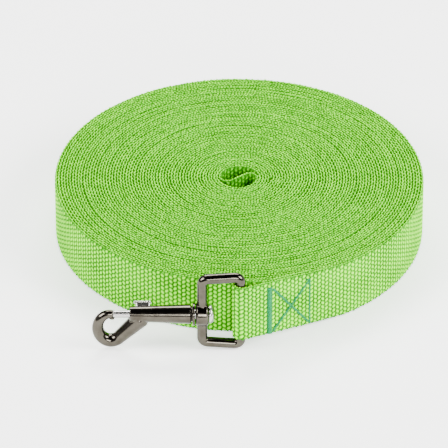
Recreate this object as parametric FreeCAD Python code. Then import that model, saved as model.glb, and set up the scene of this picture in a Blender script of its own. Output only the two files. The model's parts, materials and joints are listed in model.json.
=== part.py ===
import FreeCAD, Part
import math
import os

# Training leash: a long strip of flat webbing wound into a tight round coil that stands on its edge,
# with a swivel bolt snap on its outer end.
# Frame: origin on the coil's axis, at the coil's base. +Z is up along that axis.
# The snap lies in front of the coil (towards -Y) and points to -X. Millimetres.

Vec = FreeCAD.Vector
UP = Vec(0, 0, 1)
ALONG = Vec(1, 0, 0)       # the way the snap's axis runs

# Webbing
WEB_WIDTH = 25.4          # nominal 1 inch
WEB_THICK = 1.13
CORE_RADIUS = 7.1         # hole in the middle of the coil
CORE_STRIP_ANGLE = 37.0   # of the webbing that crosses the core, in degrees from +X
HANDLE_TURNS = 6          # turns taken up by the two sides of the hand loop
COIL_RADIUS = 74.4        # outside of the last turn but one
COIL_GAP = 0.3            # between the hand loop's turns and the rest of the coil
OUTER_TURN_START = 75.0   # degrees from +X, where the outermost stretch begins
LAP_END_X = 29.5          # where the folded-back end stops
LAP_GAP = 0.15            # between the lap's end and the turn behind it
LAP_BACKSET = 0.2         # of the lap's end, from the point where the strap bends over it
LAP_SPREAD = 10.2         # from the bar to where the two layers meet
STRAP_LIFT = 5.5          # height of the strap's lower edge where it goes round the eye

# Stitching
THREAD_PROUD = 0.3
THREAD_CLEARANCE = 0.4    # between one row of stitches and the next
HANDLE_SEAM_MARGIN = 3.5  # from the webbing's edges
HANDLE_SEAM_START = 150.0
HANDLE_SEAM_END = 240.0
HANDLE_SEAM_GAP = 0.05    # to the turn that covers the thread
TACK_PLACE = 11.5         # from the eye's bar, along the strap
TACK_WIDTH = 2.2
TACK_HEIGHT = 22.0
SEAM_FOOT = 0.6           # of the tack and the end row, above the strap's lower edge
ROW_PLACE = 30.2
ROW_WIDTH = 0.6
CROSS_HALF_HEIGHT = 10.2
CROSS_WIDTH = 0.8

# Eye
EYE_Y = -85.2             # plane of the eye and of the snap's axis
EYE_BAR = 4.2             # diameter of the bar
EYE_HEIGHT = 36.0         # on the strap's side
EYE_TAPER = 1.1           # how much lower the other side is at each end
EYE_RIGHT_X = 0.6         # centre line of the bar inside the fold
EYE_LEFT_X = -14.5        # centre line of the bar that holds the rivet
EYE_CORNER = 2.2
EYE_BOSS_RADIUS = 4.8
EYE_BOSS_HALF = 2.6
FOLD_CLEARANCE = 0.1      # round the bar, inside the webbing

# Snap
AXIS_Z = 16.4             # a little below the middle of the eye
BARREL_FRONT_X = -43.0
BARREL_FRONT_RADIUS = 3.1
BARREL_REAR_X = -19.1
BARREL_REAR_RADIUS = 3.9
NECK_RADIUS = 3.0
FLANGE_RADIUS = 4.6
FLANGE_FRONT_X = -18.3
FLANGE_REAR_X = -17.3
HOOK_CENTRE_X = -50.6
HOOK_DROP = 6.3           # of the hook's centre below the snap's axis
HOOK_HALF_LENGTH = 5.1    # of the oval that the hook's centre line follows
HOOK_HALF_HEIGHT = 6.3
HOOK_TIP_ANGLE = 80.0     # round the oval, from +X
HOOK_LEAVE_ANGLE = 312.0  # where the shank leaves the oval
TIP_RADIUS = 1.5
WIRE_RADIUS = 2.7         # where the shank begins
SHANK_LENGTH = 12.2
SHANK_END_RADIUS = 3.5
SHANK_ROOT_RADIUS = 2.0   # of the root that runs on into the barrel
SHANK_ROOT_LENGTH = 4.0
MOUTH_RADIUS = 1.5        # bore at the barrel's front, round the bolt
BORE_RADIUS = 2.2
BORE_START_X = -41.2
BORE_END_X = -21.6
SLOT_WIDTH = 2.5
SLOT_START_X = -40.9
SLOT_END_X = -27.0

# Bolt, stud and spring
BOLT_RADIUS = 1.42
BOLT_TIP_X = -49.7
GUIDE_RADIUS = 2.13
GUIDE_FRONT_X = -41.1
GUIDE_REAR_X = -33.2
STUD_TILT = 52.0          # of the slot and the stud, from +Z towards the coil
STEM_WIDTH = 2.1
STEM_FRONT_X = -40.7
STEM_REAR_X = -35.0
STEM_FOOT = 1.2           # distances from the snap's axis
TAB_FOOT = 4.5
TAB_TOP = 5.1
TAB_WIDTH = 2.6
TAB_FRONT_X = -41.5
TAB_REAR_X = -34.5
TAB_CORNER = 0.9
SPRING_WIRE = 0.35
SPRING_RADIUS = 1.75
SPRING_COILS = 7
SPRING_GAP = 0.05

# Rivet
RIVET_SHANK = 2.0
RIVET_HOLE_CLEARANCE = 0.05
RIVET_HEAD_RADIUS = 3.7
RIVET_HEAD_THICK = 2.3
RIVET_HEAD_ROUND = 1.4
RIVET_HEAD_GAP = 0.1      # between the eye's boss and the head
RIVET_PRESS = 2.2         # length of its grip inside the barrel


def polar(radius, degrees):
    """A point in the floor plane at this distance and angle from the coil's axis."""
    angle = math.radians(degrees)
    return Vec(radius * math.cos(angle), radius * math.sin(angle), 0)


def rod(radius, start, end):
    """A round bar between two points."""
    run = end - start
    return Part.makeCylinder(radius, run.Length, start, run)


def on_axis(x):
    """The point of the snap's axis at this X."""
    return Vec(x, EYE_Y, AXIS_Z)


def ring(inner, outer, height=WEB_WIDTH):
    return Part.makeCylinder(outer, height).cut(Part.makeCylinder(inner, height))


def ring_sector(inner, outer, start, end, height=WEB_WIDTH, centre=Vec(0, 0, 0)):
    """Part of an upright ring between two angles, in degrees."""
    mid = (start + end) / 2
    far = [centre + polar(outer, angle) for angle in (start, mid, end)]
    near = [centre + polar(inner, angle) for angle in (end, mid, start)]
    edges = [
        Part.Arc(*far).toShape(),
        Part.makeLine(far[2], near[0]),
        Part.Arc(*near).toShape(),
        Part.makeLine(near[2], far[0]),
    ]
    return Part.Face(Part.Wire(edges)).extrude(UP * height)


def slab(start, end, side, thick, height):
    """A straight upright wall from start to end, this thick towards the side vector."""
    across = side * thick
    corners = [start, end, end + across, start + across, start]
    return Part.Face(Part.makePolygon(corners)).extrude(UP * height)


# Route of the strap in plan: it leaves the coil on a tangent, passes over the lap's end and goes
# straight to the fold round the eye's bar.
BAR = Vec(EYE_RIGHT_X, EYE_Y, 0)
FOLD_INNER = EYE_BAR / 2 + FOLD_CLEARANCE
FOLD_OUTER = FOLD_INNER + WEB_THICK
CLEAR_RADIUS = COIL_RADIUS + LAP_GAP + WEB_THICK
BEND = Vec(LAP_END_X, -math.sqrt(CLEAR_RADIUS ** 2 - LAP_END_X ** 2), 0)
BEND_ANGLE = math.degrees(math.atan2(BEND.y, BEND.x))
LEAVE_ANGLE = BEND_ANGLE + math.degrees(math.acos(COIL_RADIUS / CLEAR_RADIUS))
LEAVE = polar(COIL_RADIUS, LEAVE_ANGLE)

TO_BAR = BAR - BEND
RUN_ANGLE = math.atan2(TO_BAR.y, TO_BAR.x) + math.asin(FOLD_INNER / TO_BAR.Length)
RUN = Vec(math.cos(RUN_ANGLE), math.sin(RUN_ANGLE), 0)
SIDE = Vec(-RUN.y, RUN.x, 0)                 # from the coil towards the viewer's side of the strap
FOLD_START = BAR + SIDE * FOLD_INNER
RUN_LENGTH = (FOLD_START - BEND).Length
STRAP_LENGTH = RUN_LENGTH + (BEND - LEAVE).Length


def strap_space():
    """The tilted slab of space that the rising strap fills, from the coil to the eye."""
    reach = 60.0
    rise = reach * STRAP_LIFT / STRAP_LENGTH
    outline = (
        (-1, 0), (0, 0), (reach, rise),
        (reach, rise + WEB_WIDTH), (0, WEB_WIDTH), (-1, WEB_WIDTH), (-1, 0),
    )
    corners = [LEAVE + RUN * along + UP * up - SIDE * reach for along, up in outline]
    return Part.Face(Part.makePolygon(corners)).extrude(SIDE * 2 * reach)


def webbing_coil():
    inner = CORE_RADIUS + HANDLE_TURNS * WEB_THICK + COIL_GAP
    return ring(inner, COIL_RADIUS)


def webbing_handle():
    """The hand loop wound flat round the core, with the strip that crosses the core."""
    turns = ring(CORE_RADIUS, CORE_RADIUS + HANDLE_TURNS * WEB_THICK)
    reach = CORE_RADIUS + WEB_THICK / 2
    strip = Part.makeBox(2 * reach, WEB_THICK, WEB_WIDTH)
    strip.translate(Vec(-reach, -WEB_THICK / 2, 0))
    strip.rotate(Vec(0, 0, 0), UP, CORE_STRIP_ANGLE)
    return turns.fuse(strip).removeSplitter()


def handle_stitching():
    """Thread of the hand loop, between its last turn and the next."""
    inner = CORE_RADIUS + HANDLE_TURNS * WEB_THICK
    height = WEB_WIDTH - 2 * HANDLE_SEAM_MARGIN
    outer = inner + COIL_GAP - HANDLE_SEAM_GAP
    patch = ring_sector(inner, outer, HANDLE_SEAM_START, HANDLE_SEAM_END, height)
    patch.translate(UP * HANDLE_SEAM_MARGIN)
    return patch


def webbing_hook_end():
    """The outermost stretch of webbing, the fold round the eye's bar and the lap behind it."""
    tall = 2 * WEB_WIDTH
    outer_turn = ring_sector(COIL_RADIUS, COIL_RADIUS + WEB_THICK, LEAVE_ANGLE, OUTER_TURN_START)
    lift_off = (BEND - LEAVE).normalize()
    first_side = Vec(-lift_off.y, lift_off.x, 0)
    rising = slab(LEAVE, BEND, first_side, WEB_THICK, tall)
    front = slab(BEND, FOLD_START, SIDE, WEB_THICK, tall)

    # The lap lies against the strap from the coil to the tack, then spreads to pass behind the bar.
    joint = FOLD_START - RUN * LAP_SPREAD
    lap = slab(BEND - RUN * LAP_BACKSET, joint, SIDE, -WEB_THICK, tall)
    to_bar = BAR - joint
    lean = math.atan2(to_bar.y, to_bar.x) - math.asin(FOLD_INNER / to_bar.Length)
    lean_run = Vec(math.cos(lean), math.sin(lean), 0)
    lean_side = Vec(-lean_run.y, lean_run.x, 0)
    back = slab(joint, BAR - lean_side * FOLD_INNER, lean_side, -WEB_THICK, tall)
    fold_end = math.degrees(math.atan2(SIDE.y, SIDE.x))
    fold_start = math.degrees(math.atan2(-lean_side.y, -lean_side.x)) - 360
    fold = ring_sector(FOLD_INNER, FOLD_OUTER, fold_start, fold_end, tall, BAR)
    strap = rising.fuse([front, fold, back, lap]).common(strap_space())
    return outer_turn.fuse(strap).removeSplitter()


def strap_point(along, up):
    """A point on the strap's outer face: along from the eye's bar, up from its lower edge."""
    foot = FOLD_START + SIDE * WEB_THICK - RUN * along
    rise = STRAP_LIFT * (1 - along / STRAP_LENGTH)
    return foot + UP * (rise + up)


def thread_band(along_a, up_a, along_b, up_b, width):
    """A raised line of thread on the strap's outer face between two places on it."""
    a = strap_point(along_a, up_a)
    b = strap_point(along_b, up_b)
    across = (b - a).cross(SIDE).normalize() * (width / 2)
    corners = [a - across, b - across, b + across, a + across, a - across]
    return Part.Face(Part.makePolygon(corners)).extrude(SIDE * THREAD_PROUD)


def bar_tack():
    return thread_band(TACK_PLACE, SEAM_FOOT, TACK_PLACE, SEAM_FOOT + TACK_HEIGHT, TACK_WIDTH)


def cross_stitching():
    mid = SEAM_FOOT + TACK_HEIGHT / 2
    left = TACK_PLACE + TACK_WIDTH / 2 + THREAD_CLEARANCE
    right = ROW_PLACE - ROW_WIDTH / 2 - THREAD_CLEARANCE
    falling = thread_band(left, mid + CROSS_HALF_HEIGHT, right, mid - CROSS_HALF_HEIGHT, CROSS_WIDTH)
    rising = thread_band(left, mid - CROSS_HALF_HEIGHT, right, mid + CROSS_HALF_HEIGHT, CROSS_WIDTH)
    return falling.fuse(rising).removeSplitter()


def end_row_stitching():
    return thread_band(ROW_PLACE, SEAM_FOOT, ROW_PLACE, SEAM_FOOT + TACK_HEIGHT, ROW_WIDTH)


def rounded_loop(corners, radius):
    """A closed wire through these corners, each rounded. It starts on the run before the first corner."""
    arcs = []
    edges = []
    count = len(corners)
    for i, corner in enumerate(corners):
        back = (corners[i - 1] - corner).normalize()
        ahead = (corners[(i + 1) % count] - corner).normalize()
        half = back.getAngle(ahead) / 2
        reach = radius / math.tan(half)
        depth = radius / math.sin(half) - radius
        middle = corner + (back + ahead).normalize() * depth
        arcs.append((corner + back * reach, middle, corner + ahead * reach))
    for i, arc in enumerate(arcs):
        edges.append(Part.makeLine(arcs[i - 1][2], arc[0]))
        edges.append(Part.Arc(*arc).toShape())
    return Part.Wire(edges)


def swivel_eye():
    """A round bar bent into an upright four-sided loop, with a boss that the rivet goes through."""
    low = EYE_BAR / 2
    high = EYE_HEIGHT - EYE_BAR / 2
    corners = [
        Vec(EYE_RIGHT_X, EYE_Y, high),
        Vec(EYE_LEFT_X, EYE_Y, high - EYE_TAPER),
        Vec(EYE_LEFT_X, EYE_Y, low + EYE_TAPER),
        Vec(EYE_RIGHT_X, EYE_Y, low),
    ]
    loop = rounded_loop(corners, EYE_CORNER)
    section = Part.Wire([Part.makeCircle(EYE_BAR / 2, loop.Vertexes[0].Point, UP)])
    bar = loop.makePipeShell([section], True, False)
    boss_start = on_axis(EYE_LEFT_X - EYE_BOSS_HALF)
    boss_end = on_axis(EYE_LEFT_X + EYE_BOSS_HALF)
    boss = rod(EYE_BOSS_RADIUS, boss_start, boss_end)
    reach = 2 * EYE_BOSS_HALF
    hole_radius = RIVET_SHANK + RIVET_HOLE_CLEARANCE
    hole = rod(hole_radius, on_axis(EYE_LEFT_X - reach), on_axis(EYE_LEFT_X + reach))
    return bar.fuse(boss).cut(hole).removeSplitter()


def oval_point(degrees):
    """A point of the hook's centre line and the way it runs there, going round from +X by +Z."""
    angle = math.radians(degrees)
    centre = on_axis(HOOK_CENTRE_X) - UP * HOOK_DROP
    offset = Vec(HOOK_HALF_LENGTH * math.cos(angle), 0, HOOK_HALF_HEIGHT * math.sin(angle))
    run = Vec(-HOOK_HALF_LENGTH * math.sin(angle), 0, HOOK_HALF_HEIGHT * math.cos(angle))
    return centre + offset, run.normalize()


def hook_and_shank():
    """Round wire that thickens from the tip, round the hook and up the shank to its root."""
    sections = []
    steps = 8
    for i in range(steps + 1):
        share = i / steps
        point, run = oval_point(HOOK_TIP_ANGLE + (HOOK_LEAVE_ANGLE - HOOK_TIP_ANGLE) * share)
        radius = TIP_RADIUS + (WIRE_RADIUS - TIP_RADIUS) * math.sin(math.pi / 2 * share)
        sections.append(Part.Wire([Part.makeCircle(radius, point, run)]))
    hook = Part.makeLoft(sections, True)
    shank = Part.makeCone(WIRE_RADIUS, SHANK_END_RADIUS, SHANK_LENGTH, point, run)
    top = point + run * SHANK_LENGTH
    root = Part.makeCone(SHANK_END_RADIUS, SHANK_ROOT_RADIUS, SHANK_ROOT_LENGTH, top, run)
    return hook.fuse([shank, root])


def slot_space(start, end, width, low, high):
    """A straight-sided space along the snap's axis, standing out towards the stud's side."""
    space = Part.makeBox(end - start, width, high - low)
    space.translate(on_axis(start) + Vec(0, -width / 2, low))
    space.rotate(on_axis(0), ALONG, -STUD_TILT)
    return space


def snap_body():
    """Hook, shank, barrel, neck and flange, cast in one."""
    length = BARREL_REAR_X - BARREL_FRONT_X
    barrel = Part.makeCone(
        BARREL_FRONT_RADIUS, BARREL_REAR_RADIUS, length, on_axis(BARREL_FRONT_X), ALONG)
    neck = rod(NECK_RADIUS, on_axis(BARREL_REAR_X), on_axis(FLANGE_FRONT_X))
    flange = rod(FLANGE_RADIUS, on_axis(FLANGE_FRONT_X), on_axis(FLANGE_REAR_X))
    body = hook_and_shank().fuse([barrel, neck, flange])

    mouth = rod(MOUTH_RADIUS, on_axis(BOLT_TIP_X), on_axis(BORE_START_X))
    bore = rod(BORE_RADIUS, on_axis(BORE_START_X), on_axis(BORE_END_X))
    rivet_bore = rod(RIVET_SHANK, on_axis(BORE_END_X), on_axis(FLANGE_REAR_X))
    slot = slot_space(SLOT_START_X, SLOT_END_X, SLOT_WIDTH, 0, BARREL_REAR_RADIUS)
    return body.cut([mouth, bore, rivet_bore, slot]).removeSplitter()


def bolt():
    front = rod(BOLT_RADIUS, on_axis(BOLT_TIP_X), on_axis(GUIDE_REAR_X))
    guide = rod(GUIDE_RADIUS, on_axis(GUIDE_FRONT_X), on_axis(GUIDE_REAR_X))
    seat = slot_space(STEM_FRONT_X, STEM_REAR_X, STEM_WIDTH, STEM_FOOT, BARREL_REAR_RADIUS)
    return front.fuse(guide).cut(seat).removeSplitter()


def thumb_stud():
    """A stem that stands out of the barrel's slot, with a flat tab across its top."""
    stem = slot_space(STEM_FRONT_X, STEM_REAR_X, STEM_WIDTH, STEM_FOOT, TAB_TOP)
    tab = slot_space(TAB_FRONT_X, TAB_REAR_X, TAB_WIDTH, TAB_FOOT, TAB_TOP)
    height = TAB_TOP - TAB_FOOT
    posts = [e for e in tab.Edges if e.BoundBox.XLength < 0.01 and abs(e.Length - height) < 0.01]
    return tab.makeFillet(TAB_CORNER, posts).fuse(stem).removeSplitter()


def bolt_spring():
    front = GUIDE_REAR_X + SPRING_GAP + SPRING_WIRE / 2
    rear = BORE_END_X - SPRING_GAP - SPRING_WIRE / 2
    length = rear - front
    path = Part.makeLongHelix(length / SPRING_COILS, length, SPRING_RADIUS)
    section = Part.Wire([Part.makeCircle(SPRING_WIRE / 2, Vec(SPRING_RADIUS, 0, 0), Vec(0, 1, 0))])
    spring = Part.Wire(path).makePipeShell([section], True, True)
    spring.rotate(Vec(0, 0, 0), Vec(0, 1, 0), 90)
    spring.translate(on_axis(front))
    return spring


def swivel_rivet():
    """A round-headed rivet through the eye's boss, gripped in the barrel's rear."""
    face = EYE_LEFT_X + EYE_BOSS_HALF + RIVET_HEAD_GAP
    top = face + RIVET_HEAD_THICK
    shank = rod(RIVET_SHANK, on_axis(FLANGE_REAR_X - RIVET_PRESS), on_axis((face + top) / 2))
    head = rod(RIVET_HEAD_RADIUS, on_axis(face), on_axis(top))
    rim = [e for e in head.Edges if e.BoundBox.XMin > top - 0.01]
    head = head.makeFillet(RIVET_HEAD_ROUND, rim)
    return shank.fuse(head).removeSplitter()


PARTS = {
    "webbing_coil": webbing_coil,
    "webbing_handle": webbing_handle,
    "webbing_hook_end": webbing_hook_end,
    "handle_stitching": handle_stitching,
    "bar_tack": bar_tack,
    "cross_stitching": cross_stitching,
    "end_row_stitching": end_row_stitching,
    "snap_body": snap_body,
    "bolt": bolt,
    "thumb_stud": thumb_stud,
    "bolt_spring": bolt_spring,
    "swivel_rivet": swivel_rivet,
    "swivel_eye": swivel_eye,
}

os.makedirs("parts", exist_ok=True)
for name, make in PARTS.items():
    shape = make()
    box = shape.BoundBox
    size = f"{box.XLength:.1f} x {box.YLength:.1f} x {box.ZLength:.1f}"
    print(f"{name}: {len(shape.Solids)} solid, valid {shape.isValid()}, {shape.Volume:.1f} mm3, {size}")
    shape.exportStep(f"parts/{name}.step")
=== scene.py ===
import json
import math

import bmesh
import bpy
import numpy as np
from mathutils import Matrix, Vector


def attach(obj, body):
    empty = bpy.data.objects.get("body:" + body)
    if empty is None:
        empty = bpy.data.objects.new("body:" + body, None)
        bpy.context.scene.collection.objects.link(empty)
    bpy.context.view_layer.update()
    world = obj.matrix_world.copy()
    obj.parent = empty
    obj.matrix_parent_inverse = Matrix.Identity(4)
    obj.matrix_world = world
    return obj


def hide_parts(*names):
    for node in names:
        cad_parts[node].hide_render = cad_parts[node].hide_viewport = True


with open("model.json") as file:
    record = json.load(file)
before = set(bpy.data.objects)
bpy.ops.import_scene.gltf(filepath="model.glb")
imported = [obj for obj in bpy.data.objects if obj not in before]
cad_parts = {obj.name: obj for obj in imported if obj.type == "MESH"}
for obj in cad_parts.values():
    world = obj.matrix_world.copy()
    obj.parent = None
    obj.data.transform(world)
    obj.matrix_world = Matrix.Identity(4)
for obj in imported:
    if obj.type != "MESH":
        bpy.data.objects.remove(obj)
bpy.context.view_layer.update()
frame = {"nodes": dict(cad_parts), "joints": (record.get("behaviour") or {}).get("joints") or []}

# Training leash: a long strip of woven webbing wound into a flat coil, with a swivel bolt snap on its
# outer end. Lengths in the sizes below are in millimetres, and MM turns them into Blender's metres.
MM = 0.001


def joint_place(name):
    """Where a joint of the frame is, in millimetres."""
    joint = next(j for j in frame["joints"] if j["name"] == name)
    return [value / MM for value in joint["pos_m"]]


# Webbing, as in the CAD model
WIDTH = 25.4
THICK = 1.13
CORE_ANGLE = 37.0
CORE_MID = 7.1 + THICK / 2           # midline of the innermost turn
CORE_BEND = 3.0                      # bend of the strip that crosses the core
HANDLE_TURNS = 3                     # turns of the hand loop's first side
COIL_RADIUS = 74.4
LAP_END_X = 29.5
LAP_GAP = 0.15
LAP_SPREAD = 10.2
STRAP_LIFT = 5.5

# Weave
RIB = 1.8                            # rib pitch along the webbing
BEAD = 2.0                           # bead pitch across it
RELIEF = 0.26
LOOP = 1.25                          # pitch of the yarn's loops along the edges
LOOP_DEPTH = 0.75
LOOP_SWAY = 0.15                     # how far the loops lean out of line
EDGE_STEPS = 4                       # stations per loop on the turns inside the coil
FACE_STEPS = 5                       # stations per rib where the face shows
FACE_ROWS = 64
CORE_ROWS = 34
BODY_THICK = 1.0                     # webbing without its relief
COVERED_HALF = 0.57                  # from the midline to a covered face, where the next turn meets it

# Eye and snap, from the frame
EYE_RIGHT_X, EYE_Y, _ = joint_place("eye_pivot")
EYE_LEFT_X, _, AXIS_Z = joint_place("swivel")
EYE_BAR = 2.1                        # radius of the bar
EYE_HEIGHT = 36.0
EYE_TAPER = 1.1
EYE_CORNER = 2.2

# Camera
VIEW_ELEVATION = 33.95
VIEW_DISTANCE = 2063.0
VIEW_TARGET = (-5.9, 0.8, 1.2)
VIEW_LENS = 404.6

rng = np.random.default_rng(11)


def make_camera():
    data = bpy.data.cameras.new("camera")
    data.lens = VIEW_LENS
    data.sensor_width = 36.0
    data.clip_end = 20.0
    camera = bpy.data.objects.new("camera", data)
    bpy.context.collection.objects.link(camera)
    tilt = math.radians(VIEW_ELEVATION)
    forward = Vector((0, math.cos(tilt), -math.sin(tilt)))
    camera.location = (Vector(VIEW_TARGET) - forward * VIEW_DISTANCE) * MM
    camera.rotation_euler = (math.pi / 2 - tilt, 0, 0)
    bpy.context.scene.camera = camera


make_camera()


# ---------------------------------------------------------------- meshes

def add_mesh(name, verts, faces, material, body, smooth=True):
    """A new piece from points in millimetres and a list of faces."""
    mesh = bpy.data.meshes.new(name)
    mesh.from_pydata((np.asarray(verts) * MM).tolist(), [], faces)
    mesh.validate()
    mesh.update()
    return add_piece(name, mesh, material, body, smooth)


def add_piece(name, mesh, material, body, smooth=True):
    piece = bpy.data.objects.new(name, mesh)
    bpy.context.collection.objects.link(piece)
    mesh.materials.clear()
    mesh.materials.append(material)
    mesh.polygons.foreach_set("use_smooth", [smooth] * len(mesh.polygons))
    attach(piece, body)
    return piece


def grid_faces(rows, columns):
    """Quads round a tube of points, rows along it and columns round it."""
    r = np.arange(rows - 1)[:, None]
    c = np.arange(columns)[None, :]
    nxt = (c + 1) % columns
    a = r * columns + c
    b = r * columns + nxt
    quads = np.stack([a, b, b + columns, a + columns], axis=-1)
    return quads.reshape(-1, 4)


# ---------------------------------------------------------------- the webbing's route in plan

def direction(degrees):
    angle = np.radians(degrees)
    return np.array([np.cos(angle), np.sin(angle)])


def route_strap():
    """Where the strap leaves the coil, bends over the lap's end and meets the eye's bar."""
    bar = np.array([EYE_RIGHT_X, EYE_Y])
    clear = COIL_RADIUS + LAP_GAP + THICK
    bend = np.array([LAP_END_X, -math.sqrt(clear ** 2 - LAP_END_X ** 2)])
    leave = math.degrees(math.atan2(bend[1], bend[0])) + math.degrees(math.acos(COIL_RADIUS / clear))
    return bar, bend, leave


BAR, BEND, LEAVE_ANGLE = route_strap()
FOLD_MID = EYE_BAR + 0.12 + THICK / 2
EXIT_SHIFT = math.degrees(math.atan2(CORE_BEND, math.sqrt(CORE_MID ** 2 - 2 * CORE_MID * CORE_BEND)))
FIRST_ANGLE = CORE_ANGLE - EXIT_SHIFT                    # where the strip joins the innermost turn
MAIN_TURNS = 53 + (FIRST_ANGLE - LEAVE_ANGLE) / 360
MID_RADIUS = COIL_RADIUS + THICK / 2
HANDLE_RADIUS = CORE_MID + 2 * THICK * HANDLE_TURNS
PITCH = (MID_RADIUS - HANDLE_RADIUS) / MAIN_TURNS
STEP_FADE_TURNS = 16


def spiral_radius(turns):
    """Midline radius after this many turns from the core, going outward.

    Where the hand loop's other side ends, the turns above it step down by one thickness, and the
    step fades out over the next turns.
    """
    paired = CORE_MID + 2 * THICK * turns
    beyond = turns - HANDLE_TURNS
    part = np.mod(beyond, 1)
    settle = np.clip(1 - part / 0.04, 0, 1)
    step = part - 1 + settle * settle * (3 - 2 * settle)
    fading = 1 - np.clip((beyond - 1) / STEP_FADE_TURNS, 0, 1)
    single = HANDLE_RADIUS + PITCH * (beyond + step * fading)
    return np.where(turns < HANDLE_TURNS, paired, single)


def spiral(start, end, step, half_turn=0.0):
    """Points of the spiral between two turn counts, about step apart."""
    dense = np.linspace(start, end, int((end - start) * 720) + 2)
    radius = spiral_radius(dense)
    length = np.concatenate([[0], np.cumsum(np.hypot(np.diff(radius), (radius[1:] + radius[:-1]) / 2
                                                     * np.diff(dense) * 2 * math.pi))])
    count = max(2, int(round(length[-1] / step)) + 1)
    turns = np.interp(np.linspace(0, length[-1], count), length, dense)
    angle = np.radians(FIRST_ANGLE + half_turn) - 2 * math.pi * turns
    radius = spiral_radius(turns)
    return np.stack([radius * np.cos(angle), radius * np.sin(angle)], axis=1)


def resample(points, step):
    """The same line with points a fixed step apart."""
    length = np.concatenate([[0], np.cumsum(np.hypot(*np.diff(points, axis=0).T))])
    count = max(2, int(round(length[-1] / step)) + 1)
    at = np.linspace(0, length[-1], count)
    return np.stack([np.interp(at, length, points[:, k]) for k in (0, 1)], axis=1)


def core_crossing():
    """The S-shaped strip across the core, from one inner turn to the other."""
    along = math.sqrt(CORE_MID ** 2 - 2 * CORE_MID * CORE_BEND)
    turn = 90 + EXIT_SHIFT
    run = direction(CORE_ANGLE)
    right = direction(CORE_ANGLE - 90)
    centre = run * along + right * CORE_BEND
    steps = np.linspace(0, 1, 40)
    arc = np.array([centre + CORE_BEND * direction(CORE_ANGLE + 90 - turn * t) for t in steps])
    return np.concatenate([-arc[::-1], arc])


def normals_of(points):
    """Unit normals to the left of the line's run."""
    run = np.gradient(points, axis=0)
    run /= np.hypot(*run.T)[:, None]
    return np.stack([-run[:, 1], run[:, 0]], axis=1)


# ---------------------------------------------------------------- weave

def weave(s, v):
    """Height of the face from 0 to 1: ribs across the webbing, each a row of slanting beads."""
    column = s / RIB
    index = np.floor(column)
    u = column - index - 0.5
    odd = np.mod(index, 2)
    lean = 1 - 2 * odd
    phase = v / BEAD + 0.5 * odd + 0.42 * lean * u
    rib = np.cos(math.pi * u) ** 2
    bead = 0.5 + 0.5 * np.cos(2 * math.pi * phase)
    return rib ** 0.5 * (0.15 + 0.85 * bead ** 0.8)


DRIFTS = rng.uniform(-1, 1, (6, 16384))


def drift(s, spacing, channel):
    """Smooth seeded noise along the webbing, about -1 to 1, that changes over this spacing."""
    values = DRIFTS[channel]
    place = s / spacing
    index = np.floor(place).astype(int)
    t = place - index
    t = t * t * (3 - 2 * t)
    return values[index % values.size] * (1 - t) + values[(index + 1) % values.size] * t


def edge_loops(s):
    """The yarn's loops along an edge: how far each stands up, from 0 to 1, and which way it leans."""
    phase = s / LOOP + 0.35 * drift(s, 5.0, 0) + 0.8 * drift(s, 60.0, 1)
    stand = np.abs(np.cos(math.pi * phase)) ** 0.7
    size = 0.82 + 0.18 * drift(s, LOOP, 2)
    return stand * size, np.cos(math.pi * phase)


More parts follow.
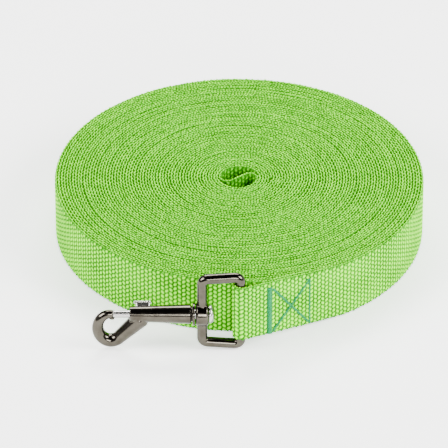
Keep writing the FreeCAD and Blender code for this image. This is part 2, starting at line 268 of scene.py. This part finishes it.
def ribbon(name, points, start_s, body, lift=None, face_rows=0, inner_rows=0, shade_factor=1.0):
    """A closed strip of webbing along a line in plan. The left of the line is its outer face.

    face_rows and inner_rows give the outer and inner faces that many rows with the weave modelled;
    without them a face is plain between its edges, as where the next turn covers it. The last argument,
    below 1, darkens the faces' colour as painted shade, for the turns deep in the core.
    """
    n = len(points)
    normal = normals_of(points)
    step = np.hypot(*np.diff(points, axis=0).T)
    s = start_s + np.concatenate([[0], np.cumsum(step)])
    lift = np.zeros(n) if lift is None else lift
    half = BODY_THICK / 2
    shoulder, crown = 1.1, 0.30

    def face(rows, side):
        if rows == 0:
            rows_v = np.array([shoulder, WIDTH - shoulder])
        else:
            rows_v = np.linspace(shoulder, WIDTH - shoulder, rows)
        return [(side * (half if rows else COVERED_HALF), v, 1.0 if rows else 0.0) for v in rows_v]

    outer = face(face_rows, 1)
    inner = face(inner_rows, -1)[::-1]
    top = [(half * 0.86, WIDTH - crown, -1), (0.0, WIDTH, -2), (-half * 0.86, WIDTH - crown, -1)]
    bottom = [(-half * 0.7, 0.1, -1), (half * 0.7, 0.1, -1)]
    profile = outer + top + inner + bottom
    k = len(profile)
    stand, sway = edge_loops(s)
    wander = 0.20 * drift(s, 90.0, 3) + 0.10 * drift(s, 14.0, 4)
    lean = 0.07 * drift(s, 25.0, 5)
    across = np.zeros((n, k))
    up = np.zeros((n, k))
    # Painted shading for each point, from 0 in deep shade to 1 where lit: darker colour in the weave's hollows, on
    # covered faces, in the gaps between the edge's loops and on its shoulders and underside.
    painted_shading = np.zeros((n, k))
    for j, (a, v, kind) in enumerate(profile):
        if kind == 1.0:
            h = weave(s, np.full(n, v))
            fade = min(1.0, (min(v, WIDTH - v) - 0.6) / 1.2)
            across[:, j] = a + math.copysign(RELIEF, a) * (h - 0.45) * fade
            up[:, j] = v
            # Painted shade: the factor below 1 darkens the colour of the core's turns.
            painted_shading[:, j] = (0.05 + 0.95 * h) * shade_factor
        elif kind == 0.0:
            across[:, j] = a
            up[:, j] = v
            # Painted shade: a face covered by the next turn is coloured dark.
            painted_shading[:, j] = 0.12
        else:
            high = v > WIDTH / 2
            depth = LOOP_DEPTH * (1.0 if kind == -2 else 0.8) * (1 - stand)
            across[:, j] = a * (0.45 + 0.60 * stand) + LOOP_SWAY * sway + lean
            up[:, j] = v - depth if high else v + depth
            # Painted shade: the loops' tops are light and the gaps between them dark; the shoulders and underside
            # are darker still.
            painted_shading[:, j] = 0.12 + 0.86 * stand if kind == -2 else 0.3 * stand
        painted_shading[:, j] = np.clip(painted_shading[:, j], 0, 1)
    up += wander[:, None] * np.clip(up / WIDTH, 0, 1)
    xy = points[:, None, :] + normal[:, None, :] * across[:, :, None]
    z = lift[:, None] + up
    verts = np.concatenate([xy, z[:, :, None]], axis=2).reshape(-1, 3)
    verts[:, 2] = np.maximum(verts[:, 2], 0.0)
    faces = grid_faces(n, k)[:, ::-1].tolist()
    faces.append(list(range(k)))
    faces.append(list(range((n - 1) * k, n * k))[::-1])
    piece = add_mesh(name, verts, faces, WEBBING, body)
    mesh = piece.data
    for end in (-1, -2):
        mesh.polygons[end].use_smooth = False
    shade_factor = mesh.attributes.new("painted_shading", "FLOAT", "POINT")
    shade_factor.data.foreach_set("value", painted_shading.ravel())
    place = mesh.attributes.new("cloth_place", "FLOAT_VECTOR", "POINT")
    place.data.foreach_set("vector", np.stack([
        np.repeat(s, k), np.tile([p[1] for p in profile], n), np.sign(across).ravel()], axis=1).ravel())
    return piece, s[-1]


# ---------------------------------------------------------------- materials

def new_material(name):
    material = bpy.data.materials.new(name)
    material.use_nodes = True
    tree = material.node_tree
    tree.nodes.clear()
    out = tree.nodes.new("ShaderNodeOutputMaterial")
    shader = tree.nodes.new("ShaderNodeBsdfPrincipled")
    tree.links.new(shader.outputs[0], out.inputs["Surface"])
    return material, tree, shader


def node(tree, kind, inputs=(), **settings):
    """A new node with its settings, and its inputs linked or set."""
    made = tree.nodes.new(kind)
    for key, value in settings.items():
        setattr(made, key, value)
    for key, value in dict(inputs).items():
        if isinstance(value, bpy.types.NodeSocket):
            tree.links.new(value, made.inputs[key])
        else:
            made.inputs[key].default_value = value
    return made


def ramp(tree, factor, stops):
    made = node(tree, "ShaderNodeValToRGB", {0: factor})
    elements = made.color_ramp.elements
    while len(elements) < len(stops):
        elements.new(0.5)
    for element, (place, colour) in zip(elements, stops):
        element.position = place
        element.color = (*colour, 1)
    return made.outputs[0]


def webbing_material():
    """Lime nylon with fine yarn lines, and painted shade: lighter on the beads, deep green in the hollows between
    them and in the gaps between turns.
    """
    material, tree, shader = new_material("lime_webbing")
    # This attribute carries the painted shading: low values give deep green as painted shade in hollows and gaps,
    # high values lime on the lit beads.
    painted_shading = node(tree, "ShaderNodeAttribute", attribute_name="painted_shading").outputs["Fac"]
    place = node(tree, "ShaderNodeAttribute", attribute_name="cloth_place").outputs["Vector"]
    stretched = node(tree, "ShaderNodeMapping", {0: place, "Scale": (7.0, 2.2, 1.0)}).outputs[0]
    yarn = node(tree, "ShaderNodeTexNoise", {"Vector": stretched, "Scale": 1.0, "Detail": 3.0}).outputs[0]
    broad = node(tree, "ShaderNodeMapping", {0: place, "Scale": (0.05, 0.12, 1.0)}).outputs[0]
    patch = node(tree, "ShaderNodeTexNoise", {"Vector": broad, "Scale": 1.0, "Detail": 2.0}).outputs[0]
    mixed = node(tree, "ShaderNodeMath", {0: yarn, 1: 0.5}, operation="SUBTRACT").outputs[0]
    mixed = node(tree, "ShaderNodeMath", {0: mixed, 1: 0.55, 2: painted_shading}, operation="MULTIPLY_ADD").outputs[0]
    shift = node(tree, "ShaderNodeMath", {0: patch, 1: 0.5}, operation="SUBTRACT").outputs[0]
    mixed = node(tree, "ShaderNodeMath", {0: shift, 1: 0.3, 2: mixed}, operation="MULTIPLY_ADD").outputs[0]
    colour = ramp(tree, mixed, [
        (0.0, (0.002, 0.035, 0.0)), (0.28, (0.030, 0.25, 0.0)),
        (0.6, (0.19, 0.76, 0.0)), (0.95, (0.42, 0.98, 0.0))])
    tree.links.new(colour, shader.inputs["Base Color"])
    rough = node(tree, "ShaderNodeMath", {0: yarn, 1: 0.20, 2: 0.75}, operation="MULTIPLY_ADD").outputs[0]
    tree.links.new(rough, shader.inputs["Roughness"])
    bump = node(tree, "ShaderNodeBump", {"Height": yarn, "Strength": 0.4, "Distance": 0.0002})
    tree.links.new(bump.outputs[0], shader.inputs["Normal"])
    shader.inputs["Specular IOR Level"].default_value = 0.04
    return material


def thread_material():
    """Teal polyester thread, twisted."""
    material, tree, shader = new_material("teal_thread")
    where = node(tree, "ShaderNodeTexCoord").outputs["Object"]
    spun = node(tree, "ShaderNodeTexNoise", {"Vector": where, "Scale": 2600.0, "Detail": 2.0}).outputs[0]
    colour = ramp(tree, spun, [(0.3, (0.0, 0.09, 0.025)), (0.7, (0.0, 0.28, 0.080))])
    tree.links.new(colour, shader.inputs["Base Color"])
    rough = node(tree, "ShaderNodeMath", {0: spun, 1: 0.3, 2: 0.3}, operation="MULTIPLY_ADD").outputs[0]
    tree.links.new(rough, shader.inputs["Roughness"])
    bump = node(tree, "ShaderNodeBump", {"Height": spun, "Strength": 0.3, "Distance": 0.0001})
    tree.links.new(bump.outputs[0], shader.inputs["Normal"])
    shader.inputs["Specular IOR Level"].default_value = 0.12
    return material


def nickel_material(name, low, high, rough_low, rough_high, bumpy):
    """Nickel plate: slow changes of colour, cloudy polish and hairline scratches."""
    material, tree, shader = new_material(name)
    where = node(tree, "ShaderNodeTexCoord").outputs["Object"]
    cloud = node(tree, "ShaderNodeTexNoise", {"Vector": where, "Scale": 220.0, "Detail": 4.0}).outputs[0]
    colour = ramp(tree, cloud, [(0.3, low), (0.7, high)])
    tree.links.new(colour, shader.inputs["Base Color"])
    squeezed = node(tree, "ShaderNodeMapping", {0: where, "Scale": (300.0, 2500.0, 2500.0)}).outputs[0]
    scratch = node(tree, "ShaderNodeTexNoise", {"Vector": squeezed, "Scale": 1.0, "Detail": 5.0}).outputs[0]
    polish = node(tree, "ShaderNodeMapRange",
                  {0: cloud, "To Min": rough_low, "To Max": rough_high}).outputs[0]
    fine = node(tree, "ShaderNodeMath", {0: scratch, 1: 0.05, 2: polish}, operation="MULTIPLY_ADD").outputs[0]
    tree.links.new(fine, shader.inputs["Roughness"])
    bump = node(tree, "ShaderNodeBump", {"Height": cloud, "Strength": bumpy, "Distance": 0.0002})
    hair = node(tree, "ShaderNodeBump", {"Height": scratch, "Strength": 0.02, "Distance": 0.0001,
                                         "Normal": bump.outputs[0]})
    tree.links.new(hair.outputs[0], shader.inputs["Normal"])
    shader.inputs["Metallic"].default_value = 1.0
    return material


WEBBING = webbing_material()
THREAD = thread_material()
CAST_NICKEL = nickel_material("cast_nickel", (0.050, 0.044, 0.034), (0.085, 0.077, 0.062), 0.11, 0.17, 0.06)
BRIGHT_NICKEL = nickel_material("bright_nickel", (0.42, 0.41, 0.38), (0.52, 0.51, 0.48), 0.20, 0.27, 0.04)
SPRING_STEEL = nickel_material("spring_steel", (0.30, 0.30, 0.31), (0.45, 0.45, 0.46), 0.25, 0.35, 0.05)


# ---------------------------------------------------------------- the coil

def make_coil():
    """Every turn of the coil from the hand loop's inner end outward."""
    edge_step = LOOP / EDGE_STEPS
    handle = spiral(0, HANDLE_TURNS - 0.5, edge_step, half_turn=180)[::-1]
    crossing = resample(core_crossing(), edge_step)
    first = spiral(0, HANDLE_TURNS + 1.0, edge_step)
    points = np.concatenate([handle, crossing[1:-1], first])
    # The core's turns lie deep in the hole, so their colour is darkened by 0.62 as painted shade.
    core, s = ribbon("webbing_core", resample(points, RIB / FACE_STEPS), 0.0, "lead",
                     face_rows=CORE_ROWS, inner_rows=CORE_ROWS, shade_factor=0.62)
    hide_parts("webbing_handle")
    last = HANDLE_TURNS + MAIN_TURNS
    stops = [HANDLE_TURNS + 1.0, 21.0, 30.5, 38.0, 44.5, 50.0, last - 1.04]
    turns = []
    for i in range(len(stops) - 1):
        name = f"webbing_turns_{i + 1}"
        piece, s = ribbon(name, spiral(stops[i], stops[i + 1], edge_step), s, "lead")
        turns.append(piece)
    face_step = RIB / FACE_STEPS
    outer, s = ribbon("webbing_outer_turn", spiral(stops[-1], last, face_step), s, "lead",
                      face_rows=FACE_ROWS)
    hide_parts("webbing_coil")
    return s


def strap_line():
    """The strap's midline in plan, from where it leaves the coil to the lap's end, with the point where it leaves
    and its run and side directions.
    """
    clear = COIL_RADIUS + LAP_GAP + THICK * 1.5
    bend = BEND / np.hypot(*BEND) * clear
    leave = direction(LEAVE_ANGLE) * MID_RADIUS
    to_bar = BAR - bend
    reach = np.hypot(*to_bar)
    run_angle = math.degrees(math.atan2(to_bar[1], to_bar[0]) + math.asin(FOLD_MID / reach))
    run = direction(run_angle)
    side = direction(run_angle + 90)
    fold_start = BAR + side * FOLD_MID
    joint = fold_start - run * LAP_SPREAD - side * THICK
    to_bar = BAR - joint
    lean = math.degrees(math.atan2(to_bar[1], to_bar[0]) - math.asin(FOLD_MID / np.hypot(*to_bar)))
    first = run_angle + 90
    last = lean - 90
    while last > first:
        last -= 360
    around = np.array([BAR + FOLD_MID * direction(a) for a in np.linspace(first, last, 60)])
    lap_end = bend - side * THICK - run * 0.2
    line = np.concatenate([np.linspace(leave, bend, 20)[:-1],
                           np.linspace(bend, fold_start, 50)[:-1],
                           around,
                           np.linspace(around[-1], joint, 16)[1:],
                           np.linspace(joint, lap_end, 40)[1:]])
    line = resample(line, 0.25)
    ends = line[0].copy(), line[-1].copy()
    kernel = np.hanning(13)
    kernel /= kernel.sum()
    padded = np.concatenate([np.repeat(line[:1], 6, 0), line, np.repeat(line[-1:], 6, 0)])
    line = np.stack([np.convolve(padded[:, k], kernel, "valid") for k in (0, 1)], axis=1)
    line[0], line[-1] = ends
    return line, leave, run, side


LINE, STRAP_LEAVE, RUN, SIDE = strap_line()
STRAP_REACH = (BAR + SIDE * FOLD_MID - STRAP_LEAVE) @ RUN


def strap_rise(points):
    return np.clip((points - STRAP_LEAVE) @ RUN / STRAP_REACH, 0, 1.1) * STRAP_LIFT


def make_strap(s):
    points = resample(LINE, RIB / FACE_STEPS)
    strap, s = ribbon("webbing_strap", points, s, "lead", lift=strap_rise(points),
                      face_rows=FACE_ROWS, inner_rows=FACE_ROWS)
    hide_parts("webbing_hook_end")


end_s = make_coil()
make_strap(end_s)


# ---------------------------------------------------------------- stitching

def tube(path, radii, sides=10):
    """Points and faces of a round tube along a path, with closed ends."""
    path = [Vector(p) for p in path]
    verts, faces = [], []
    for i, p in enumerate(path):
        ahead = path[min(i + 1, len(path) - 1)] - path[max(i - 1, 0)]
        ahead.normalize()
        if i == 0:
            across = ahead.orthogonal().normalized()
        else:
            across = (across - ahead * across.dot(ahead)).normalized()
        other = ahead.cross(across)
        for j in range(sides):
            a = 2 * math.pi * j / sides
            verts.append(p + (across * math.cos(a) + other * math.sin(a)) * radii[i])
    for i in range(len(path) - 1):
        for j in range(sides):
            k = (j + 1) % sides
            faces.append((i * sides + j, i * sides + k, (i + 1) * sides + k, (i + 1) * sides + j))
    faces.append(tuple(range(sides))[::-1])
    faces.append(tuple(range((len(path) - 1) * sides, len(path) * sides)))
    return [tuple(v) for v in verts], faces


def gather(parts):
    """One list of points and faces from several."""
    verts, faces = [], []
    for v, f in parts:
        base = len(verts)
        verts.extend(v)
        faces.extend(tuple(base + i for i in face) for face in f)
    return verts, faces


THREAD_RADIUS = 0.29


def strap_face(along, up, proud):
    """A point on the strap's outer face: along from the eye's bar towards the coil, up from its edge."""
    foot = BAR + SIDE * (FOLD_MID + THICK / 2 + proud) - RUN * along
    rise = (foot - SIDE * (THICK / 2 + proud) - STRAP_LEAVE) @ RUN / STRAP_REACH * STRAP_LIFT
    return Vector((foot[0], foot[1], rise + up))


def stitch(a, b, radius=THREAD_RADIUS, proud=0.16, sides=8):
    """One stitch on the strap's face from a to b, each (along, up), which dips in at both ends."""
    path, radii = [], []
    for t in (0.0, 0.08, 0.25, 0.5, 0.75, 0.92, 1.0):
        bow = math.sin(math.pi * t) ** 0.5
        along = a[0] + (b[0] - a[0]) * t
        up = a[1] + (b[1] - a[1]) * t
        path.append(strap_face(along, up, -0.25 + (proud + 0.25) * bow))
        radii.append(radius * (0.75 + 0.25 * bow))
    return tube(path, radii, sides)


def seam(a, b, length, **options):
    """A row of stitches from a to b."""
    a, b = np.array(a, float), np.array(b, float)
    count = max(1, round(float(np.hypot(*(b - a))) / length))
    made = []
    for i in range(count):
        p = a + (b - a) * (i + 0.04) / count
        q = a + (b - a) * (i + 0.96) / count
        made.append(stitch(p, q, **options))
    return made


TACK_AT, TACK_WIDTH = 11.5, 2.2
ROW_AT = 30.2
SEAM_LOW, SEAM_HIGH = 0.8, 22.4
CROSS_LOW, CROSS_HIGH = 1.6, 21.6


def make_tack():
    made = []
    count = 44
    for i in range(count):
        up = SEAM_LOW + (SEAM_HIGH - SEAM_LOW) * i / (count - 1)
        skew = 0.16 * (1 if i % 2 else -1)
        wide = TACK_WIDTH / 2 + rng.uniform(-0.12, 0.12)
        made.append(stitch((TACK_AT - wide, up - skew), (TACK_AT + wide, up + skew),
                           radius=0.31, proud=0.30))
    verts, faces = gather(made)
    piece = add_mesh("tack_thread", verts, faces, THREAD, "lead")
    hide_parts("bar_tack")


def make_cross():
    left, right = TACK_AT + 1.3, ROW_AT - 0.5
    made = []
    for low, high in ((CROSS_LOW, CROSS_HIGH), (CROSS_HIGH, CROSS_LOW)):
        made += seam((left, low), (right, high), 2.1, radius=0.34)
        made += seam((left + 0.25, low + math.copysign(0.35, low - high)),
                     (right + 0.1, high + math.copysign(0.30, low - high)),
                     1.9, radius=0.34, proud=0.20)
    verts, faces = gather(made)
    piece = add_mesh("cross_thread", verts, faces, THREAD, "lead")
    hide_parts("cross_stitching")


def make_row():
    made = seam((ROW_AT, SEAM_LOW - 0.1), (ROW_AT, SEAM_HIGH - 0.2), 1.8, radius=0.36)
    made += seam((ROW_AT + 0.3, SEAM_LOW), (ROW_AT + 0.1, SEAM_LOW + 5.0), 1.7, proud=0.2)
    made += seam((ROW_AT - 1.6, SEAM_HIGH - 0.6), (ROW_AT + 0.2, SEAM_HIGH + 0.1), 1.5, proud=0.2)
    verts, faces = gather(made)
    piece = add_mesh("end_row_thread", verts, faces, THREAD, "lead")
    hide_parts("end_row_stitching")


def make_handle_thread():
    """The hand loop's own stitching, on the turn that covers it."""
    radius = CORE_MID + 2 * THICK * HANDLE_TURNS - THICK / 2 - 0.05
    made = []
    for k in range(12):
        angle = 160 + 6.2 * k
        for low, high in ((5.0 + 1.3 * k, 6.1 + 1.3 * k), (20.4 - 1.3 * k, 19.3 - 1.3 * k)):
            path = [(*(direction(angle + 6.0 * t) * (radius + 0.05 * math.sin(math.pi * t))),
                     low + (high - low) * t) for t in (0, 0.3, 0.7, 1)]
            made.append(tube(path, [0.12, 0.16, 0.16, 0.12], 8))
    verts, faces = gather(made)
    piece = add_mesh("handle_thread", verts, faces, THREAD, "lead")
    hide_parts("handle_stitching")


make_tack()
make_cross()
make_row()
make_handle_thread()


# ---------------------------------------------------------------- metal

def lathe(profile, sides=64):
    """A solid turned about the snap's axis, from (x, radius) pairs, closed at both ends on the axis."""
    verts, faces = [], []
    for x, radius in profile:
        for j in range(sides):
            a = 2 * math.pi * j / sides
            verts.append((x, EYE_Y + radius * math.cos(a), AXIS_Z + radius * math.sin(a)))
    rows = len(profile)
    for i in range(rows - 1):
        for j in range(sides):
            k = (j + 1) % sides
            faces.append((i * sides + j, i * sides + k, (i + 1) * sides + k, (i + 1) * sides + j))
    faces.append(tuple(range(sides))[::-1])
    faces.append(tuple(range((rows - 1) * sides, rows * sides)))
    return verts, faces


def rounded(profile, radius, steps=5):
    """The same profile with its corners rounded."""
    points = [Vector(p) for p in profile]
    out = [points[0]]
    for before, here, after in zip(points, points[1:], points[2:]):
        a = (before - here)
        b = (after - here)
        r = min(radius, a.length * 0.45, b.length * 0.45)
        start, end = here + a.normalized() * r, here + b.normalized() * r
        for i in range(steps + 1):
            t = i / steps
            out.append(start * (1 - t) ** 2 + here * 2 * t * (1 - t) + end * t * t)
    out.append(points[-1])
    return [tuple(p) for p in out]


def raw_object(name, parts):
    """A scratch object in millimetres from separate closed shapes."""
    verts, faces = gather(parts)
    mesh = bpy.data.meshes.new(name)
    mesh.from_pydata(verts, [], faces)
    mesh.update()
    scratch = bpy.data.objects.new(name, mesh)
    bpy.context.collection.objects.link(scratch)
    return scratch


def applied(scratch):
    """The object's mesh with its modifiers, and the object removed."""
    graph = bpy.context.evaluated_depsgraph_get()
    mesh = bpy.data.meshes.new_from_object(scratch.evaluated_get(graph))
    bpy.data.objects.remove(scratch)
    return mesh


def cast(name, parts, voxel, rounds, cuts=()):
    """Shapes melted into one casting with soft joins, then cut by other shapes. Millimetres."""
    scratch = raw_object(name, parts)
    remesh = scratch.modifiers.new("melt", "REMESH")
    remesh.mode = "VOXEL"
    remesh.voxel_size = voxel
    mesh = applied(scratch)
    soft = bmesh.new()
    soft.from_mesh(mesh)
    for _ in range(rounds):
        bmesh.ops.smooth_vert(soft, verts=soft.verts, factor=0.5,
                              use_axis_x=True, use_axis_y=True, use_axis_z=True)
    bmesh.ops.recalc_face_normals(soft, faces=soft.faces)
    soft.to_mesh(mesh)
    soft.free()
    body = bpy.data.objects.new(name, mesh)
    bpy.context.collection.objects.link(body)
    tools = []
    for i, cut in enumerate(cuts):
        tool = raw_object(f"{name}_cut{i}", [cut])
        tools.append(tool)
        boolean = body.modifiers.new(f"cut{i}", "BOOLEAN")
        boolean.operation = "DIFFERENCE"
        boolean.solver = "EXACT"
        boolean.object = tool
    mesh = applied(body)
    for tool in tools:
        bpy.data.objects.remove(tool)
    mesh.transform(Matrix.Scale(MM, 4))
    return mesh


def block(low, high):
    """A plain box between two corners, used as a cutting tool or melted into a casting."""
    xs, ys, zs = zip(low, high)
    verts = [(x, y, z) for x in xs for y in ys for z in zs]
    faces = [(0, 1, 3, 2), (4, 6, 7, 5), (0, 4, 5, 1), (2, 3, 7, 6), (0, 2, 6, 4), (1, 5, 7, 3)]
    return verts, faces


BARREL_FRONT = (-43.0, 3.1)          # X and radius
BARREL_REAR = (-19.1, 3.9)
FLANGE = (-18.3, -17.3, 4.6)         # X of its two faces, and radius
NECK_RADIUS = 3.0
BOSS_HALF, BOSS_RADIUS = 2.6, 4.8
HOOK_CENTRE = (-50.6, AXIS_Z - 6.3)
HOOK_HALF_LENGTH, HOOK_HALF_HEIGHT = 5.1, 6.3
HOOK_TIP, HOOK_LEAVE = 80.0, 312.0   # degrees round the oval, from +X
TIP_RADIUS, WIRE_RADIUS, SHANK_END_RADIUS, ROOT_RADIUS = 1.6, 2.8, 3.6, 2.1
SHANK_LENGTH, ROOT_LENGTH = 12.2, 4.0
BOLT_TIP_X, BOLT_GUIDE_X, BOLT_REAR_X = -49.7, -41.1, -33.2
BORE = (-41.2, -21.6)
SLOT = (-40.9, -27.0, 2.5)           # X of its two ends, and width
STUD_TILT = 52.0                     # of the slot and the stud, from +Z towards the coil
STEM = (-40.7, -35.0, 2.1)
TAB = (-41.5, -34.5, 2.6)
TAB_FOOT, TAB_TOP, TAB_CORNER = 4.5, 5.1, 0.9


def hook_line():
    """Centre line and radii of the hook's wire, from its tip round to the shank's top."""
    path, radii = [], []
    for i in range(61):
        t = i / 60
        angle = math.radians(HOOK_TIP + (HOOK_LEAVE - HOOK_TIP) * t)
        path.append((HOOK_CENTRE[0] + HOOK_HALF_LENGTH * math.cos(angle), EYE_Y,
                     HOOK_CENTRE[1] + HOOK_HALF_HEIGHT * math.sin(angle)))
        radii.append(TIP_RADIUS + (WIRE_RADIUS - TIP_RADIUS) * math.sin(math.pi / 2 * t))
    start = Vector(path[-1])
    run = (start - Vector(path[-2])).normalized()
    for i in range(1, 15):
        t = i / 14
        path.append(tuple(start + run * SHANK_LENGTH * t))
        radii.append(WIRE_RADIUS + (SHANK_END_RADIUS - WIRE_RADIUS) * t)
    for i in range(1, 6):
        t = i / 5
        path.append(tuple(start + run * (SHANK_LENGTH + ROOT_LENGTH * t)))
        radii.append(SHANK_END_RADIUS + (ROOT_RADIUS - SHANK_END_RADIUS) * t)
    return path, radii


def tilted(shape):
    """The same shape turned about the snap's axis to where the stud stands."""
    verts, faces = shape
    turn = Matrix.Rotation(-math.radians(STUD_TILT), 3, "X")
    axis = Vector((0, EYE_Y, AXIS_Z))
    return [tuple(axis + turn @ (Vector(v) - axis)) for v in verts], faces


def make_snap():
    hook = tube(*hook_line(), 40)
    barrel = lathe([BARREL_FRONT, BARREL_REAR, (BARREL_REAR[0] + 0.3, BARREL_REAR[1] - 0.7)], 72)
    neck = lathe([(BARREL_REAR[0] - 0.5, NECK_RADIUS), (FLANGE[0] + 0.3, NECK_RADIUS)], 72)
    flange = lathe([(FLANGE[0], FLANGE[2]), (FLANGE[1], FLANGE[2])], 72)
    tip_x = BOLT_TIP_X - 0.4
    lobe = tube([(tip_x, EYE_Y, AXIS_Z - 0.2 - 0.2 * i) for i in range(11)], [1.15] * 11, 24)
    mouth = lathe([(BOLT_TIP_X, 1.5), (BORE[0] + 0.1, 1.5)], 48)
    bore = lathe([(BORE[0], 2.2), (BORE[1], 2.2)], 48)
    grip = lathe([(BORE[1] - 0.1, 2.0), (FLANGE[1] + 0.4, 2.0)], 48)
    half = SLOT[2] / 2
    slot = tilted(block((SLOT[0], EYE_Y - half, AXIS_Z), (SLOT[1], EYE_Y + half, AXIS_Z + 5.0)))
    mesh = cast("snap_casting", [hook, barrel, neck, flange, lobe], 0.13, 7, [mouth, bore, grip, slot])
    piece = add_piece("snap_casting", mesh, CAST_NICKEL, "snap")
    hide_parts("snap_body")


def rounded_loop(corners, radius, steps=8):
    """Points of a closed upright loop through (x, z) corners, each rounded."""
    path = []
    for i, corner in enumerate(corners):
        here = Vector(corner)
        back = (Vector(corners[i - 1]) - here).normalized()
        ahead = (Vector(corners[(i + 1) % len(corners)]) - here).normalized()
        half = back.angle(ahead) / 2
        centre = here + (back + ahead).normalized() * radius / math.sin(half)
        first = here + back * radius / math.tan(half) - centre
        last = here + ahead * radius / math.tan(half) - centre
        for k in range(steps + 1):
            point = centre + first.slerp(last, k / steps).normalized() * radius
            path.append((point[0], EYE_Y, point[1]))
    return path


def make_eye():
    low, high = EYE_BAR, EYE_HEIGHT - EYE_BAR
    corners = [(EYE_RIGHT_X, high), (EYE_LEFT_X, high - EYE_TAPER),
               (EYE_LEFT_X, low + EYE_TAPER), (EYE_RIGHT_X, low)]
    path = rounded_loop(corners, EYE_CORNER)
    ring = tube(path + path[:1], [EYE_BAR] * (len(path) + 1), 32)
    plug = tube([path[-2], path[-1], path[0], path[1]], [EYE_BAR] * 4, 32)
    boss = lathe([(EYE_LEFT_X - BOSS_HALF, BOSS_RADIUS - 0.7), (EYE_LEFT_X - BOSS_HALF + 0.7, BOSS_RADIUS),
                  (EYE_LEFT_X + BOSS_HALF - 0.7, BOSS_RADIUS), (EYE_LEFT_X + BOSS_HALF, BOSS_RADIUS - 0.7)], 72)
    hole = lathe([(EYE_LEFT_X - 5, 2.05), (EYE_LEFT_X + 5, 2.05)], 48)
    mesh = cast("eye_casting", [ring, plug, boss], 0.15, 7, [hole])
    piece = add_piece("eye_casting", mesh, CAST_NICKEL, "eye")
    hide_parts("swivel_eye")


def make_turned():
    """Bolt and rivet, turned from bar."""
    tip = BOLT_TIP_X + 0.06
    profile = [(tip, 0.01), (tip, 1.42), (BOLT_GUIDE_X, 1.42),
               (BOLT_GUIDE_X, 2.13), (BOLT_REAR_X, 2.13), (BOLT_REAR_X, 0.01)]
    verts, faces = lathe(rounded(profile, 0.35), 64)
    piece = add_mesh("bolt_rod", verts, faces, BRIGHT_NICKEL, "bolt")
    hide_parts("bolt")
    face = EYE_LEFT_X + BOSS_HALF + 0.1
    profile = [(-19.2, 0.01), (-19.2, 1.98), (face, 1.98), (face, 3.7), (face + 0.9, 3.7),
               (face + 1.9, 2.8), (face + 2.3, 1.2), (face + 2.3, 0.01)]
    verts, faces = lathe(rounded(profile, 0.5), 72)
    piece = add_mesh("rivet", verts, faces, BRIGHT_NICKEL, "snap")
    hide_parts("swivel_rivet")


def bar_along(start, end, width, low, high, corner, edge, count=70):
    """A bar along X with its corners rounded in plan and its long edges eased."""
    sections = []
    for i in range(count + 1):
        x = start + (end - start) * i / count
        near_end = min(x - start, end - x, corner)
        half = width / 2 - corner + math.sqrt(corner ** 2 - (corner - near_end) ** 2)
        top = AXIS_Z + high
        foot = AXIS_Z + low
        sections += [(x, EYE_Y + y, z) for y, z in (
            (-half + edge, foot), (-half, foot + edge), (-half, top - edge), (-half + edge * 0.3, top - edge * 0.3),
            (-half + edge, top), (half - edge, top), (half - edge * 0.3, top - edge * 0.3),
            (half, top - edge), (half, foot + edge), (half - edge, foot))]
    faces = grid_faces(count + 1, 10).tolist()
    faces.append(list(range(10))[::-1])
    faces.append(list(range(count * 10, count * 10 + 10)))
    return sections, faces


def make_stud():
    """The stem and the thumb tab on it."""
    stem = bar_along(*STEM, 1.4, TAB_FOOT + 0.2, 0.6, 0.1)
    tab = bar_along(*TAB, TAB_FOOT, TAB_TOP, TAB_CORNER, 0.18)
    verts, faces = gather([tilted(stem), tilted(tab)])
    piece = add_mesh("stud_tab", verts, faces, BRIGHT_NICKEL, "bolt")
    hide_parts("thumb_stud")


make_snap()
make_eye()
make_turned()
make_stud()
for slot in frame["nodes"]["bolt_spring"].material_slots:
    slot.material = SPRING_STEEL


# ---------------------------------------------------------------- studio

def make_floor():
    bpy.ops.mesh.primitive_plane_add(size=6.0, location=(0, 0, 0))
    floor = bpy.context.object
    floor.name = "floor"
    material, tree, shader = new_material("pale_floor")
    shader.inputs["Base Color"].default_value = (0.92, 0.92, 0.91, 1)
    shader.inputs["Roughness"].default_value = 0.75
    shader.inputs["Emission Color"].default_value = (1, 1, 1, 1)
    shader.inputs["Emission Strength"].default_value = 1.3
    floor.data.materials.append(material)


def make_light(name, place, target, size, power):
    data = bpy.data.lights.new(name, "AREA")
    data.shape = "RECTANGLE"
    data.size, data.size_y = size
    data.energy = power
    lamp = bpy.data.objects.new(name, data)
    bpy.context.collection.objects.link(lamp)
    lamp.location = place
    aim = Vector(target) - Vector(place)
    lamp.rotation_euler = aim.to_track_quat("-Z", "Y").to_euler()


DARK_SIDE = (0.0, -0.64, 0.77)


def make_world():
    """Pale grey all round, darker above on the side that the leash is seen from."""
    world = bpy.data.worlds.new("studio")
    bpy.context.scene.world = world
    world.use_nodes = True
    tree = world.node_tree
    where = node(tree, "ShaderNodeTexCoord").outputs["Generated"]
    toward = node(tree, "ShaderNodeVectorMath", {0: where, 1: DARK_SIDE}, operation="DOT_PRODUCT").outputs["Value"]
    colour = ramp(tree, toward, [(0.0, (0.85, 0.85, 0.85)), (0.35, (0.55, 0.55, 0.55)), (0.75, (0.02, 0.02, 0.02))])
    tree.links.new(colour, tree.nodes["Background"].inputs[0])
    tree.nodes["Background"].inputs[1].default_value = 0.55


make_floor()
make_world()
make_light("left", (-0.95, -0.35, 0.75), (0, 0, 0), (0.6, 0.6), 25)
make_light("right", (0.95, -0.30, 0.75), (0, 0, 0), (0.6, 0.6), 34)
make_light("front", (0.15, -1.1, 0.42), (0, 0, 0), (0.5, 0.3), 13)
make_light("back", (0.0, 0.75, 0.95), (0, 0, 0), (0.9, 0.4), 26)
